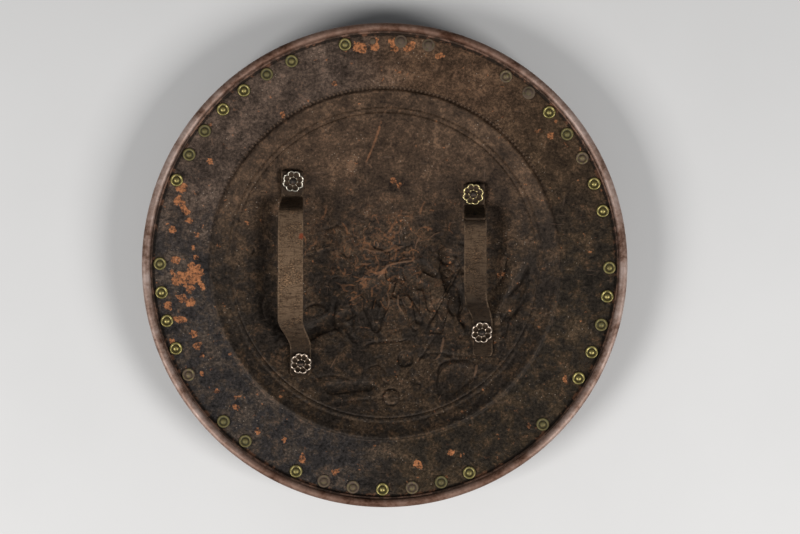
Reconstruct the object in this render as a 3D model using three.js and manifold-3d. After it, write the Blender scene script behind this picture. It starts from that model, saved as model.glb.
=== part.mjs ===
// A round iron shield of the rotella kind, lying on its domed front with the hollow back facing up.
// Millimetres, +Z up. The origin is the middle of the small flat roundel that the shield rests on.
// The field is embossed from the back with a battle scene, two leather straps are riveted across it,
// and a row of rosette washers, some of them lost, runs just inside the rolled rim.

import * as THREE from "three";
import { mergeVertices } from "three/addons/utils/BufferGeometryUtils.js";
import Module from "manifold-3d";

const wasm = await Module();
wasm.setup();

// ---- driving dimensions -------------------------------------------------------------------------

const DIAMETER = 570; // over the rolled rim
const SHEET = 1.8; // thickness of the iron
const GAP = 0.3; // between pieces that touch

const CROWN_HEIGHT = 4; // back surface above the rest plane, in the middle
const FIELD_RADIUS = 180; // edge of the domed field
const DOME_RADIUS = 598; // radius of the field's curve
const FIELD_RINGS = 14; // mesh rings from the middle to the field's edge
const RING_STEP = FIELD_RADIUS / FIELD_RINGS;
const ROUNDEL_RADIUS = 4 * RING_STEP; // flat spot on the front

// The ring moulding round the field, then the plain border: [radius, rise above the field's edge].
const MOULDING = [
  [196, 5.3], // foot of the ridge
  [205, 9.8], // crest of the ridge
  [209, 7.3], // foot of the border
  [273, 14.3], // edge of the border, under the rim's lip
];

const BEAD_RADIUS = 5; // the rolled rim's cross-section
const LIP_HEIGHT = 3; // the turned-in edge of the sheet stands this high on the border
const LIP_WIDTH = 2.5;

const EDGE_STATIONS = 52; // corners of the rings outside the field
const COARSE_STEP = 34; // mesh step along a ring across the plain upper field; RING_STEP below it

const RIVET_CIRCLE = 264.2; // radius of the row of rim rivets
const RIVET_STATIONS = 49;
const FIRST_STATION = 0.68; // where the row starts, as a share of the pitch
const STATION_DRIFT = 0.18; // the smith's spacing is tighter on the left by this share of the pitch
const LOST_RIVETS = [0, 8, 9, 14, 22, 23, 29, 32, 40, 41, 43];

const WASHER_RADIUS = 7.8;
const SHANK_RADIUS = 2;
const HOLE_RADIUS = 2.7;
const ROUND_SIDES = 7; // facets round a rim rivet

const LEATHER = 3; // thickness of a strap
const STRAP_LIFT = 1.2; // underside of a strap end above the field at the rivet
const ROSETTE_RADIUS = 12.4;
const ROSETTE_BASE = 1; // thickness of a rosette under its rivet head
const PETALS = 8;

// Each strap runs from its upper rivet to its lower one: over the hand on the right, the arm on the left.
const STRAPS = {
  arm: {
    upper: [-110.3, 99.9],
    lower: [-99.7, -118.6],
    upperWidth: 26,
    width: 29.5,
    lowerWidth: 24.7,
    crown: 50.5, // height of the underside in the middle
    upperFoot: 18, // the strap leaves the plate this far inside the upper rivet
    upperRun: 24, // and reaches its height in this run
    lowerFoot: 13,
    lowerRun: 34,
    fold: 18, // the end is folded over and lies double to this far inside the upper rivet
    tail: 13, // leather beyond the lower rivet
    bend: -66, // the strap sets off sideways here
  },
  hand: {
    upper: [106.5, 84.6],
    lower: [115.9, -81.5],
    upperWidth: 25,
    width: 26,
    lowerWidth: 23.5,
    crown: 46.5,
    upperFoot: 13,
    upperRun: 26,
    lowerFoot: 12,
    lowerRun: 30,
    fold: 36,
    tail: 27,
    bend: -38,
  },
};
const STRAP_RIVETS = Object.values(STRAPS).flatMap(({ upper, lower }) => [upper, lower]);
const FOLD_TIP = 12.5; // leather beyond an upper rivet
const BEND_RUN = 30;
const STRAP_STEPS = 13;

// ---- the embossed scene -------------------------------------------------------------------------

const RELIEF = 3; // depth of the boldest forms
const RELIEF_EDGE = 168; // the embossing fades out between here and the field's edge
const SEAT = [12, 28]; // and towards each strap rivet, between these distances, so that its heads lie flat

const direction = (degrees) => {
  const angle = THREE.MathUtils.degToRad(degrees);
  return new THREE.Vector2(Math.cos(angle), Math.sin(angle));
};

// One hammered form: a round-ended hollow from one point to another, seen from the back.
const stroke = (from, to, radius, depth = RELIEF) => ({ from, to, radius, depth });

const disc = (x, y, radius, depth = RELIEF) => {
  const centre = new THREE.Vector2(x, y);
  return stroke(centre, centre, radius, depth);
};

// A chain of bones from one joint: each is [direction in degrees, length, radius].
function chain(start, bones) {
  let joint = start;
  return bones.map(([angle, length, radius]) => {
    const next = joint.clone().addScaledVector(direction(angle), length);
    const bone = stroke(joint, next, radius);
    joint = next;
    return bone;
  });
}

// A soldier of a given height: the torso's lean, and a pair of bone directions for each leg and arm.
function soldier({ hip, height, torso, legs, arms }) {
  const start = new THREE.Vector2(...hip);
  const body = chain(start, [
    [torso, 0.3 * height, 0.11 * height],
    [torso, 0.19 * height, 0.085 * height],
  ]);
  const shoulder = body[0].to;
  const limbs = [
    ...legs.map(([thigh, shin]) =>
      chain(start, [
        [thigh, 0.24 * height, 0.08 * height],
        [shin, 0.24 * height, 0.065 * height],
      ]),
    ),
    ...arms.map(([upper, fore]) =>
      chain(shoulder, [
        [upper, 0.17 * height, 0.065 * height],
        [fore, 0.16 * height, 0.055 * height],
      ]),
    ),
  ];
  return [...body, ...limbs.flat()];
}

// A horse from rump to head, with a pair of bone directions for each hind and fore leg.
function horse({ rump, length, back, neck, head, hind, fore }) {
  const start = new THREE.Vector2(...rump);
  const trunk = chain(start, [
    [back, 0.4 * length, 0.19 * length],
    [neck, 0.27 * length, 0.11 * length],
    [head, 0.2 * length, 0.075 * length],
  ]);
  const chest = trunk[0].to;
  const leg = (joint, [upper, lower]) =>
    chain(joint, [
      [upper, 0.27 * length, 0.085 * length],
      [lower, 0.24 * length, 0.06 * length],
    ]);
  return [
    ...trunk,
    ...hind.map((pair) => leg(start, pair)).flat(),
    ...fore.map((pair) => leg(chest, pair)).flat(),
  ];
}

const SCENE = [
  // A rearing horse in the middle, and its rider.
  ...horse({
    rump: [-14, -26],
    length: 98,
    back: 14,
    neck: 46,
    head: -38,
    hind: [
      [-105, -70],
      [-60, -110],
    ],
    fore: [
      [-62, -84],
      [-20, -80],
    ],
  }),
  ...soldier({ hip: [12, 0], height: 78, torso: 82, legs: [[-70, -110]], arms: [[200, 160]] }),
  // A soldier with a lance, striding in from the right.
  ...soldier({
    hip: [84, -34],
    height: 104,
    torso: 102,
    legs: [
      [-68, -76],
      [-128, -98],
    ],
    arms: [[-6, 62]],
  }),
  // A fallen soldier, half under the arm strap.
  ...soldier({
    hip: [-84, -76],
    height: 92,
    torso: 24,
    legs: [[196, 158]],
    arms: [[-30, -62]],
  }),
  // A standard bearer near the right edge.
  ...soldier({ hip: [150, -44], height: 84, torso: 66, legs: [[-112, -94]], arms: [[20, 78]] }),
  // What lies on the ground: a great round shield, a helmet and a ball.
  disc(86, -142, 25, 0.7 * RELIEF),
  disc(24, -112, 9),
  disc(7.5, -157, 10, -0.6 * RELIEF),
  ...chain(new THREE.Vector2(-62, -146), [[4, 44, 8]]),
];

// How deep the scene is sunk into the back surface at a point; raised forms count as negative.
function embossing(x, y) {
  const point = new THREE.Vector2(x, y);
  let sunk = 0;
  let raised = 0;
  for (const { from, to, radius, depth } of SCENE) {
    const bone = to.clone().sub(from);
    const along = point.clone().sub(from).dot(bone) / (bone.lengthSq() || 1);
    const nearest = from.clone().addScaledVector(bone, THREE.MathUtils.clamp(along, 0, 1));
    const share = nearest.distanceTo(point) / radius;
    const swell = share < 1 ? depth * Math.sqrt(1 - share * share) : 0;
    sunk = Math.max(sunk, swell);
    raised = Math.min(raised, swell);
  }
  const atEdge = THREE.MathUtils.smoothstep(point.length(), RELIEF_EDGE, FIELD_RADIUS);
  const clearOf = (rivet) => {
    const distance = point.distanceTo(new THREE.Vector2(...rivet));
    return THREE.MathUtils.smoothstep(distance, ...SEAT);
  };
  return STRAP_RIVETS.reduce((depth, rivet) => depth * clearOf(rivet), (sunk + raised) * (1 - atEdge));
}

// ---- the plate's surfaces -----------------------------------------------------------------------

const domeHeight = (radius) => CROWN_HEIGHT + DOME_RADIUS - Math.sqrt(DOME_RADIUS ** 2 - radius ** 2);

const EDGE_HEIGHT = domeHeight(FIELD_RADIUS);
const BORDER = MOULDING.at(-1);
const BORDER_FOOT = MOULDING.at(-2);
const BORDER_EDGE_HEIGHT = EDGE_HEIGHT + BORDER[1];
const BORDER_SLOPE = (BORDER[1] - BORDER_FOOT[1]) / (BORDER[0] - BORDER_FOOT[0]);
const BEAD_CENTRE = DIAMETER / 2 - BEAD_RADIUS;
const BEAD_HEIGHT = BORDER_EDGE_HEIGHT - SHEET + BEAD_RADIUS;

const borderHeight = (radius) => BORDER_EDGE_HEIGHT - BORDER_SLOPE * (BORDER[0] - radius);

const fieldBack = (x, y) => domeHeight(Math.hypot(x, y)) - embossing(x, y);

const fieldFront = (x, y) => {
  const onRoundel = Math.hypot(x, y) < ROUNDEL_RADIUS + GAP;
  return onRoundel ? 0 : Math.max(0, fieldBack(x, y) - SHEET);
};

// Unit normal of a surface that rises outward by a slope, at a point; it leans inward and up.
function inwardNormal(x, y, slope) {
  const radius = Math.hypot(x, y);
  return new THREE.Vector3((-slope * x) / radius, (-slope * y) / radius, 1).normalize();
}

const domeNormal = (x, y) => {
  const radius = Math.hypot(x, y);
  return inwardNormal(x, y, radius / Math.sqrt(DOME_RADIUS ** 2 - radius ** 2));
};

// ---- closed skins from rings of points ----------------------------------------------------------

// A ring is a list of points with, for each, the share of a turn at which it stands.
const pole = (x, y, z) => ({ points: [new THREE.Vector3(x, y, z)], turns: [0] });

const ringAt = (turns, radius, height) => ({
  turns,
  points: turns.map((turn) => {
    const angle = 2 * Math.PI * turn;
    const x = radius * Math.cos(angle);
    const y = radius * Math.sin(angle);
    return new THREE.Vector3(x, y, typeof height === "function" ? height(x, y) : height);
  }),
});

const evenTurns = (count) => Array.from({ length: count }, (_, i) => i / count);

// Joins each ring to the next with triangles, whatever their counts, and closes the last to the first
// when looped. Rings run anticlockwise seen from the back, and go from the front round to the back.
function skin(rings, looped = false) {
  const vertices = [];
  const faces = [];
  const placed = rings.map(({ points, turns }) => {
    const first = vertices.length / 3;
    points.forEach((p) => vertices.push(p.x, p.y, p.z));
    return { first, turns, count: points.length };
  });
  const vertex = (ring, i) => ring.first + (i % ring.count);
  const nextTurn = (ring, i) => (ring.count === 1 || i >= ring.count ? Infinity : (ring.turns[i + 1] ?? 1));
  const pairs = placed.slice(1).map((ring, i) => [placed[i], ring]);
  if (looped) pairs.push([placed.at(-1), placed[0]]);
  for (const [a, b] of pairs) {
    let i = 0;
    let j = 0;
    while (nextTurn(a, i) !== Infinity || nextTurn(b, j) !== Infinity) {
      if (nextTurn(a, i) <= nextTurn(b, j)) {
        faces.push(vertex(a, i), vertex(a, i + 1), vertex(b, j));
        i += 1;
      } else {
        faces.push(vertex(a, i), vertex(b, j + 1), vertex(b, j));
        j += 1;
      }
    }
  }
  const geometry = new THREE.BufferGeometry();
  geometry.setAttribute("position", new THREE.Float32BufferAttribute(vertices, 3));
  geometry.setIndex(faces);
  return geometry;
}

// ---- holes --------------------------------------------------------------------------------------

function solidOf(geometry) {
  const bare = geometry.clone();
  bare.deleteAttribute("normal");
  bare.deleteAttribute("uv");
  const merged = mergeVertices(bare, 1e-4);
  const triVerts = new Uint32Array(merged.index.array);
  return new wasm.Manifold(
    new wasm.Mesh({ numProp: 3, vertProperties: merged.attributes.position.array, triVerts }),
  );
}

function geometryOf(solid) {
  const { vertProperties, triVerts } = solid.getMesh();
  const geometry = new THREE.BufferGeometry();
  geometry.setAttribute("position", new THREE.BufferAttribute(vertProperties, 3));
  geometry.setIndex(new THREE.BufferAttribute(triVerts, 1));
  return geometry;
}

const Z_AXIS = new THREE.Vector3(0, 0, 1);

// A place is an origin on the back surface and the surface's normal there.
const rimPlace = (angle) => {
  const x = RIVET_CIRCLE * Math.cos(angle);
  const y = RIVET_CIRCLE * Math.sin(angle);
  const origin = new THREE.Vector3(x, y, borderHeight(RIVET_CIRCLE));
  return { origin, normal: inwardNormal(x, y, BORDER_SLOPE) };
};

const fieldPlace = ([x, y]) => ({
  origin: new THREE.Vector3(x, y, domeHeight(Math.hypot(x, y))),
  normal: domeNormal(x, y),
});

// Punches a round hole along the normal at each place.
function pierced(geometry, places, sides) {
  const reach = 40;
  return geometryOf(
    places.reduce((solid, { origin, normal }) => {
      const punch = new THREE.CylinderGeometry(HOLE_RADIUS, HOLE_RADIUS, reach, sides)
        .rotateX(Math.PI / 2)
        .applyQuaternion(new THREE.Quaternion().setFromUnitVectors(Z_AXIS, normal))
        .translate(origin.x, origin.y, origin.z);
      return solid.subtract(solidOf(punch));
    }, solidOf(geometry)),
  );
}

// ---- pieces -------------------------------------------------------------------------------------

const IRON = new THREE.MeshStandardMaterial({ color: 0x4a3d33, roughness: 0.62, metalness: 0.7 });
const BRASS = new THREE.MeshStandardMaterial({ color: 0x8a7440, roughness: 0.45, metalness: 0.85 });
const RIVET_IRON = new THREE.MeshStandardMaterial({ color: 0x2b2522, roughness: 0.55, metalness: 0.7 });
const LEATHER_BROWN = new THREE.MeshStandardMaterial({ color: 0x6b5545, roughness: 0.8, metalness: 0 });

function piece(name, geometry, material) {
  const flat = geometry.index ? geometry.toNonIndexed() : geometry;
  flat.computeVertexNormals();
  const mesh = new THREE.Mesh(flat, material.clone());
  mesh.name = name;
  return mesh;
}

// Sets a piece modelled round its own axis, with its +Z along the surface normal.
function setAt(mesh, { origin, normal }, lift = 0) {
  mesh.quaternion.setFromUnitVectors(Z_AXIS, normal);
  mesh.position.copy(origin).addScaledVector(normal, lift);
  return mesh;
}

// Where the rivets of the rim stand, lost ones left out: station number and place.
const rimStations = Array.from({ length: RIVET_STATIONS }, (_, station) => {
  const pitch = (2 * Math.PI) / RIVET_STATIONS;
  const even = pitch * (station + FIRST_STATION);
  return { station, place: rimPlace(even + pitch * STATION_DRIFT * Math.cos(even)) };
}).filter(({ station }) => !LOST_RIVETS.includes(station));

// Mesh rings of the field, from the middle out: fine below the middle, coarse above it.
const fieldRings = (height) =>
  Array.from({ length: FIELD_RINGS - 1 }, (_, i) => {
    const radius = RING_STEP * (i + 1);
    const upper = Math.max(3, Math.round((Math.PI * radius) / COARSE_STEP));
    const lower = Math.max(3, Math.round((Math.PI * radius) / RING_STEP));
    const turns = [
      ...evenTurns(upper).map((share) => share / 2),
      ...evenTurns(lower).map((share) => 0.5 + share / 2),
    ];
    return ringAt(turns, radius, height);
  });

// The forged plate: dished field, ring moulding, border, and the edge rolled over a wire towards the back.
function shieldPlate() {
  const turns = evenTurns(EDGE_STATIONS);
  const around = (radius, height) => ringAt(turns, radius, height);
  const field = [[FIELD_RADIUS, 0]];
  const rises = [...field, ...MOULDING];
  const front = rises.map(([radius, rise]) => around(radius, EDGE_HEIGHT + rise - SHEET));
  const back = rises.map(([radius, rise]) => around(radius, EDGE_HEIGHT + rise)).reverse();
  const bead = [-90, -45, 0, 45, 90, 135].map((degrees) => {
    const spoke = direction(degrees).multiplyScalar(BEAD_RADIUS);
    return around(BEAD_CENTRE + spoke.x, BEAD_HEIGHT + spoke.y);
  });
  const lipTop = BORDER_EDGE_HEIGHT + LIP_HEIGHT;
  const lip = [around(BORDER[0] + LIP_WIDTH, lipTop + 0.6), around(BORDER[0], lipTop)];
  const rings = [
    pole(0, 0, 0),
    ...fieldRings(fieldFront),
    ...front,
    ...bead,
    ...lip,
    ...back,
    ...fieldRings(fieldBack).reverse(),
    pole(0, 0, fieldBack(0, 0)),
  ];
  const places = [...rimStations.map(({ place }) => place), ...STRAP_RIVETS.map(fieldPlace)];
  return piece("shield_plate", pierced(skin(rings), places, 6), IRON);
}

// A turned form from a profile of [radius, height] pairs that starts and ends on the axis.
const turned = (profile, sides) =>
  new THREE.LatheGeometry(
    profile.map(([radius, height]) => new THREE.Vector2(radius, height)),
    sides,
  ).rotateX(Math.PI / 2);

// A rim rivet with its rosette washer on the back and its domed head on the front, peened into one.
function rimRivet(station, place) {
  const front = -SHEET - GAP;
  const profile = [
    [0, front - 3.2],
    [5.6, front],
    [SHANK_RADIUS, front],
    [SHANK_RADIUS, GAP],
    [WASHER_RADIUS, GAP],
    [WASHER_RADIUS - 1.2, GAP + 1.7],
    [3.4, GAP + 0.9],
    [0, GAP + 2.8],
  ];
  const name = "rim_rivet_" + String(station).padStart(2, "0");
  return setAt(piece(name, turned(profile, ROUND_SIDES), BRASS), place);
}

// Runs from 0 to 1 with soft ends as a value goes from one limit to the other.
const ease = (value, from, to) => {
  const share = THREE.MathUtils.clamp((value - from) / (to - from), 0, 1);
  return share * share * (3 - 2 * share);
};

// A strap is a ribbon of rectangular sections, worked out from the place y along its length.
function strap(name, s) {
  const [upperX, upperY] = s.upper;
  const [lowerX, lowerY] = s.lower;
  const upperFoot = upperY - s.upperFoot;
  const lowerFoot = lowerY + s.lowerFoot;
  const foldEnd = upperY - s.fold;
  const middle = (upperFoot + lowerFoot) / 2;
  const half = (upperFoot - lowerFoot) / 2;

  const raised = (y) =>
    ease(y, upperFoot, upperFoot - s.upperRun) * ease(y, lowerFoot, lowerFoot + s.lowerRun);
  const centre = (y) => {
    const x = THREE.MathUtils.lerp(upperX, lowerX, ease(y, s.bend, s.bend - BEND_RUN));
    const rest = domeHeight(Math.hypot(x, y)) + STRAP_LIFT;
    return new THREE.Vector3(x, y, THREE.MathUtils.lerp(rest, s.crown, raised(y)));
  };
  const width = (y) => {
    const upper = THREE.MathUtils.lerp(s.upperWidth, s.width, ease(y, upperFoot, upperFoot - s.upperRun));
    return THREE.MathUtils.lerp(upper, s.lowerWidth, ease(y, s.bend, s.bend - BEND_RUN));
  };

  const steps = Array.from({ length: STRAP_STEPS + 1 }, (_, i) => {
    return middle + half * Math.cos((Math.PI * i) / STRAP_STEPS);
  });
  const places = [upperY + FOLD_TIP, upperY, foldEnd + GAP / 2, foldEnd - GAP / 2, ...steps];
  places.push(lowerY, lowerY - s.tail);
  const sections = places
    .sort((a, b) => b - a)
    .map((y) => {
      const base = centre(y);
      const heading = centre(y - 1).sub(centre(y + 1)).normalize();
      const tilt = (base.x / DOME_RADIUS) * (1 - raised(y));
      const across = new THREE.Vector3(1, 0, tilt).normalize().multiplyScalar(width(y) / 2);
      const thickness = y > foldEnd ? 2 * LEATHER : LEATHER;
      const up = heading.clone().cross(across).normalize().multiplyScalar(thickness);
      const left = base.clone().sub(across);
      const right = base.clone().add(across);
      const points = [left, right, right.clone().add(up), left.clone().add(up)];
      return { points, turns: [0, 0.25, 0.5, 0.75], middle: base.clone().addScaledVector(up, 0.5) };
    });
  const ends = [sections[0], sections.at(-1)].map(({ middle: p }) => pole(p.x, p.y, p.z));
  const ribbon = skin([ends[0], ...sections, ends[1]]);
  return piece(name, pierced(ribbon, [fieldPlace(s.upper), fieldPlace(s.lower)], 8), LEATHER_BROWN);
}

// A brass flower washer: petal tips stand out and up, with notches between them.
function rosette(name, place, lift) {
  const turns = evenTurns(2 * PETALS);
  const ring = (tipRadius, notchRadius, tipHeight, notchHeight) => ({
    turns,
    points: turns.map((turn, i) => {
      const onTip = i % 2 === 0;
      const spoke = direction(360 * turn).multiplyScalar(onTip ? tipRadius : notchRadius);
      return new THREE.Vector3(spoke.x, spoke.y, onTip ? tipHeight : notchHeight);
    }),
  });
  const notch = 0.86 * ROSETTE_RADIUS;
  const rings = [
    ring(HOLE_RADIUS, HOLE_RADIUS, 0, 0),
    ring(ROSETTE_RADIUS, notch, 0, 0),
    ring(ROSETTE_RADIUS, notch, 1.6, 1),
    ring(0.8 * ROSETTE_RADIUS, 0.74 * ROSETTE_RADIUS, 2.6, 1.4),
    ring(HOLE_RADIUS, HOLE_RADIUS, ROSETTE_BASE, ROSETTE_BASE),
  ];
  return setAt(piece(name, skin(rings, true), BRASS), place, lift);
}

// An iron strap rivet through rosette, leather and plate; the stack is what lies between its heads.
function strapRivet(name, place, stack) {
  const front = -SHEET - GAP;
  const head = stack + GAP;
  const profile = [
    [0, front - 3],
    [6.5, front],
    [SHANK_RADIUS, front],
    [SHANK_RADIUS, head],
    [4, head],
    [3, head + 1.8],
    [0, head + 2.4],
  ];
  return setAt(piece(name, turned(profile, 8), RIVET_IRON), place);
}

// ---- the assembled shield -----------------------------------------------------------------------

const shield = new THREE.Group();
shield.name = "shield";
shield.add(shieldPlate());

for (const { station, place } of rimStations) shield.add(rimRivet(station, place));

for (const [name, dimensions] of Object.entries(STRAPS)) {
  const group = new THREE.Group();
  group.add(strap(name + "_strap", dimensions));
  for (const [end, layers] of [
    ["upper", 2],
    ["lower", 1],
  ]) {
    const place = fieldPlace(dimensions[end]);
    const leatherTop = STRAP_LIFT + layers * LEATHER;
    group.add(rosette(`${name}_rosette_${end}`, place, leatherTop + GAP));
    group.add(strapRivet(`${name}_rivet_${end}`, place, leatherTop + GAP + ROSETTE_BASE));
  }
  shield.add(group);
}

export default shield;
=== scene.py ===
"""A round iron shield lying on its domed front, seen from its hollow back.

Metres, +Z out of the hollow back, +Y towards the upper ends of the straps. Sizes that a maker would
quote in millimetres are given as such and multiplied by MM.
"""

import math

import bpy
import numpy as np
from mathutils import Matrix, Vector


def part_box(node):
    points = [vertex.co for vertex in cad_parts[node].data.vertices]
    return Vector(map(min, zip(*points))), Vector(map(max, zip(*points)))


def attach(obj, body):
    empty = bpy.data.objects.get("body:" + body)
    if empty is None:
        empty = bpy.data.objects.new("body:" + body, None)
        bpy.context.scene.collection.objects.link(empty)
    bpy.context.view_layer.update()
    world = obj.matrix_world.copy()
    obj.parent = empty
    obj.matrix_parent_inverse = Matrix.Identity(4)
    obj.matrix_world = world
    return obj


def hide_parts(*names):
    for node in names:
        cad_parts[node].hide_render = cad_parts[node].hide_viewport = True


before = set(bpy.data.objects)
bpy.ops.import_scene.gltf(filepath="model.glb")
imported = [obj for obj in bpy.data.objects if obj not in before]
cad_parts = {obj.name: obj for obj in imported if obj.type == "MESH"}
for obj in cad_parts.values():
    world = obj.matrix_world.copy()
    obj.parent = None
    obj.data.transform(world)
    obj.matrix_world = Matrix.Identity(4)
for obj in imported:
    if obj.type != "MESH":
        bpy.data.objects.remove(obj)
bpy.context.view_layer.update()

bl_info = {
    "name": "Round iron shield",
    "version": (1, 0, 0),
    "blender": (4, 5, 0),
    "location": "View3D > Sidebar > Shield",
    "description": "Builds and finishes the pieces of a round iron shield with leather straps",
    "category": "Object",
}

MM = 0.001
TAU = 2 * math.pi
SHARP_EDGE = 50  # degrees; flatter edges are shaded smooth

# ---- sizes shared with the solids, in millimetres --------------------------------------------------

RIM_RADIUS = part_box("shield_plate")[1][0] / MM
SHEET = 1.8
CROWN_HEIGHT = 4.0
FIELD_RADIUS = 180.0
DOME_RADIUS = 598.0
ROUNDEL_RADIUS = 4 * FIELD_RADIUS / 14
MOULDING = ((196, 5.3), (205, 9.8), (209, 7.3), (273, 14.3))  # radius, rise above the field's edge
ROLL_RADIUS = 5.0
LEATHER = 3.0
STRAP_LIFT = 1.2
FOLD_TIP = 12.5
BEND_RUN = 30.0
RIVET_CIRCLE = 264.2


def dome_height(radius):
    return CROWN_HEIGHT + DOME_RADIUS - np.sqrt(DOME_RADIUS**2 - np.square(radius))


EDGE_HEIGHT = float(dome_height(FIELD_RADIUS))
BORDER_RADIUS, BORDER_RISE = MOULDING[-1]
BORDER_HEIGHT = EDGE_HEIGHT + BORDER_RISE
BORDER_SLOPE = (BORDER_RISE - MOULDING[-2][1]) / (BORDER_RADIUS - MOULDING[-2][0])


def border_height(radius):
    return BORDER_HEIGHT - BORDER_SLOPE * (BORDER_RADIUS - radius)


def smooth(value, low, high):
    """Runs from 0 to 1 with soft ends as the value goes from low to high."""
    share = np.clip((value - low) / (high - low), 0, 1)
    return share * share * (3 - 2 * share)


def wander(points, size, seed):
    """Gentle noise from -1 to 1 at points in millimetres, with lumps of about the given size."""
    table = np.random.default_rng(seed).uniform(-1, 1, (48, 48, 48))
    place = np.asarray(points) / size
    corner = np.floor(place).astype(int)
    share = smooth(place - corner, 0, 1)
    total = np.zeros(len(place))
    for step in np.ndindex(2, 2, 2):
        weight = np.prod(np.where(step, share, 1 - share), axis=1)
        total += weight * table[tuple(((corner + step) % 48).T)]
    return total


def middle_of(node):
    """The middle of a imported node's box, in millimetres."""
    low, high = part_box(node)
    return (Vector(low) + Vector(high)) / (2 * MM)


# ---- modelling by hand ----------------------------------------------------------------------------


def pick_nothing():
    if bpy.context.object and bpy.context.object.mode != "OBJECT":
        bpy.ops.object.mode_set(mode="OBJECT")
    bpy.ops.object.select_all(action="DESELECT")


def pick(*pieces):
    pick_nothing()
    for piece in pieces:
        piece.select_set(True)
    bpy.context.view_layer.objects.active = pieces[0]


class Editing:
    """Edit mode on one piece, with all of its points selected to begin with."""

    def __init__(self, piece):
        self.piece = piece

    def __enter__(self):
        pick(self.piece)
        bpy.ops.object.mode_set(mode="EDIT")
        bpy.ops.mesh.select_mode(type="VERT")
        bpy.ops.mesh.select_all(action="SELECT")
        return self.piece

    def __exit__(self, *problem):
        bpy.ops.object.mode_set(mode="OBJECT")


def named(name):
    """Names the piece that an operator has just added."""
    piece = bpy.context.object
    piece.name = piece.data.name = name
    return piece


def place_in_mesh(piece):
    """Moves the piece's place, turn and size into its mesh."""
    pick(piece)
    bpy.ops.object.transform_apply(location=True, rotation=True, scale=True)


def chain_of_points(name, profile):
    """An open chain of edges through (radius, height) points, in the XZ plane."""
    pick_nothing()
    bpy.ops.mesh.primitive_plane_add(size=1)
    piece = named(name)
    with Editing(piece):
        bpy.ops.mesh.merge(type="CENTER")
        here = Vector((0, 0, 0))
        for number, (radius, height) in enumerate(profile):
            there = Vector((radius, 0, height))
            if number == 0:
                bpy.ops.transform.translate(value=there)
            else:
                bpy.ops.mesh.extrude_region_move(TRANSFORM_OT_translate={"value": there - here})
            here = there
    return piece


def copy_of(pattern, name):
    piece = pattern.copy()
    piece.data = pattern.data.copy()
    piece.name = piece.data.name = name
    bpy.context.scene.collection.objects.link(piece)
    return piece


def spun(name, profile, steps, wedges=1):
    """Spins a profile about Z into one wedge of a turn, and repeats the wedge to close the turn."""
    wedge = chain_of_points(name, profile)
    with Editing(wedge):
        bpy.ops.mesh.spin(steps=steps // wedges, angle=TAU / wedges, center=(0, 0, 0), axis=(0, 0, 1))
    copies = [copy_of(wedge, name) for _ in range(1, wedges)]
    for number, piece in enumerate(copies, 1):
        piece.rotation_euler.z = TAU * number / wedges
    pick(wedge, *copies)
    bpy.ops.object.transform_apply(location=True, rotation=True, scale=True)
    if copies:
        bpy.ops.object.join()
    piece = named(name)
    with Editing(piece):
        bpy.ops.mesh.remove_doubles(threshold=1e-6)
        bpy.ops.mesh.normals_make_consistent(inside=False)
    return piece


def coordinates(piece):
    points = np.empty(len(piece.data.vertices) * 3)
    piece.data.vertices.foreach_get("co", points)
    return points.reshape(-1, 3) / MM


def set_coordinates(piece, points):
    piece.data.vertices.foreach_set("co", (points * MM).ravel())
    piece.data.update()


def set_measure(piece, name, values):
    """Keeps one number per point on the piece, for its material to read."""
    layer = piece.data.attributes.new(name, "FLOAT", "POINT")
    layer.data.foreach_set("value", np.asarray(values, dtype=np.float32))


def shade(piece):
    pick(piece)
    bpy.ops.object.shade_smooth_by_angle(angle=math.radians(SHARP_EDGE))


def finish(piece, material, slot, *nodes):
    piece.data.materials.clear()
    piece.data.materials.append(material)
    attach(piece, "root")
    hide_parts(*nodes)


# ---- materials as expressions ---------------------------------------------------------------------


class Wire:
    """A node's output that reads like a number: arithmetic on wires adds Math nodes."""

    def __init__(self, sheet, socket):
        self.sheet, self.socket = sheet, socket

    def math(self, operation, *terms):
        return self.sheet.add("ShaderNodeMath", {"operation": operation}, dict(enumerate(terms)))

    def __add__(self, other):
        return self.math("ADD", self, other)

    __radd__ = __add__

    def __sub__(self, other):
        return self.math("SUBTRACT", self, other)

    def __rsub__(self, other):
        return self.math("SUBTRACT", other, self)

    def __mul__(self, other):
        return self.math("MULTIPLY", self, other)

    __rmul__ = __mul__

    def __truediv__(self, other):
        return self.math("DIVIDE", self, other)

    def __pow__(self, power):
        return self.math("POWER", self, power)

    def __abs__(self):
        return self.math("ABSOLUTE", self)

    def sine(self):
        return self.math("SINE", self)

    def highest(self, other):
        return self.math("MAXIMUM", self, other)


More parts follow.
